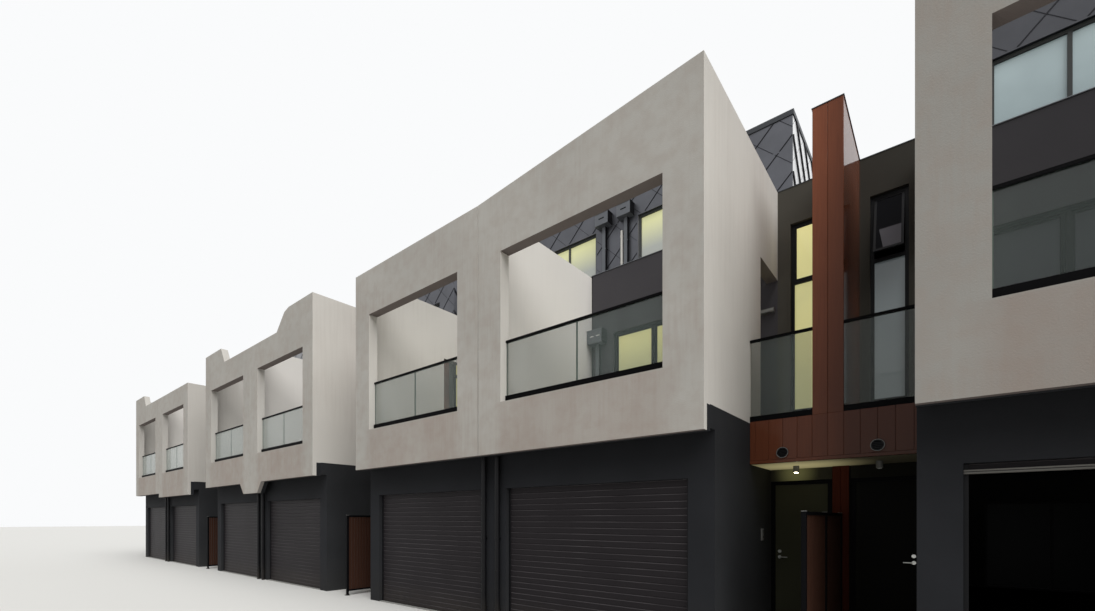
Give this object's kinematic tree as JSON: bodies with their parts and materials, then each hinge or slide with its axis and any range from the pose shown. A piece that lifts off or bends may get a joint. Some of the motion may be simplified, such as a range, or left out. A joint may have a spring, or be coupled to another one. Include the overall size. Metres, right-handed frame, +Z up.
{
  "type": "terraced house row",
  "caption": "Row of three-storey terraced houses in mirrored pairs, with rendered portal screens before roof terraces, garages below and recessed timber-clad entry links.",
  "frame": {"origin": "on the ground, in the middle of the row's length and depth", "axes": "+X to the right along the row seen from the front, +Y from the street front into the houses, +Z up"},
  "size_m": [39.44, 12.065, 9.85],
  "materials": {
    "concrete": "smooth cast concrete",
    "charcoal_render": "fine matt render, charcoal",
    "garage_door": "satin baked paint on steel slats",
    "dark_wall": "fine matt render, near black",
    "dark_frame": "satin black powder coat on aluminium",
    "entry_door": "satin dark paint",
    "satin_chrome": "satin chrome",
    "timber_cladding": "red-brown timber boards, satin oil",
    "cream_soffit": "matt cream paint on sheet",
    "dark_metal": "satin black powder coat",
    "timber_batten": "brown stained battens",
    "charcoal_paint": "satin charcoal paint",
    "light_fitting": "cream paint",
    "grey_plastic": "matt grey",
    "white_render": "sprayed textured render, warm off-white",
    "balustrade_glass": "clear toughened glass, faint green",
    "window_glass": "window glass with pale or lit rooms behind",
    "zinc_cladding": "satin zinc-grey sheet with diagonal seams",
    "roof_sheet": "roof sheet, matt grey",
    "rear_render": "textured render, warm off-white"
  },
  "bodies": {
    "row": {"ground_slabs": "concrete", "garage_piers": "charcoal_render", "garage_lintels": "charcoal_render", "garage_doors": "garage_door", "raised_garage_door": "garage_door", "box_side_walls": "charcoal_render", "party_walls": "concrete", "upper_party_walls": "concrete", "end_walls": "charcoal_render", "entry_lintels": "dark_wall", "door_frames": "dark_frame", "entry_doors": "entry_door", "entry_handles": "satin_chrome", "porch_soffits": "cream_soffit", "divider_frames": "dark_metal", "divider_battens": "timber_batten", "front_downpipes": "charcoal_paint", "vents": "dark_metal", "downlights": "light_fitting", "wall_fittings": "grey_plastic", "terrace_slabs": "concrete", "balcony_slabs": "concrete", "inner_floors": "concrete", "timber_fascias": "timber_cladding", "timber_blades": "timber_cladding", "front_screens": "white_render", "side_screens": "white_render", "terrace_fins": "white_render", "balustrade_rails": "dark_metal", "balustrade_glass": "balustrade_glass", "terrace_walls": "dark_wall", "link_walls": "dark_wall", "glazed_door_frames": "dark_frame", "link_window_frames": "dark_frame", "vent_sashes": "dark_frame", "window_glass": "window_glass", "square_downpipes": "dark_metal", "upper_front_walls": "zinc_cladding", "upper_side_walls": "zinc_cladding", "roofs": "roof_sheet", "cappings": "charcoal_paint", "rear_walls": "rear_render", "upper_rear_walls": "rear_render", "rear_frames": "dark_frame"},
    "left_entry_door": {"entry_door_left": "entry_door", "entry_handle_left": "satin_chrome"},
    "right_entry_door": {"entry_door_right": "entry_door", "entry_handle_right": "satin_chrome"}
  },
  "joints": [
    {"name": "left_entry_hinge", "type": "hinge", "parent": "row", "child": "left_entry_door", "pos_m": [9.627, -2.8845, 0.092], "axis": [0, 0, -1], "range_deg": [0, 85]},
    {"name": "right_entry_hinge", "type": "hinge", "parent": "row", "child": "right_entry_door", "pos_m": [9.973, -2.8845, 0.092], "axis": [0, 0, 1], "range_deg": [0, 85]}
  ]
}
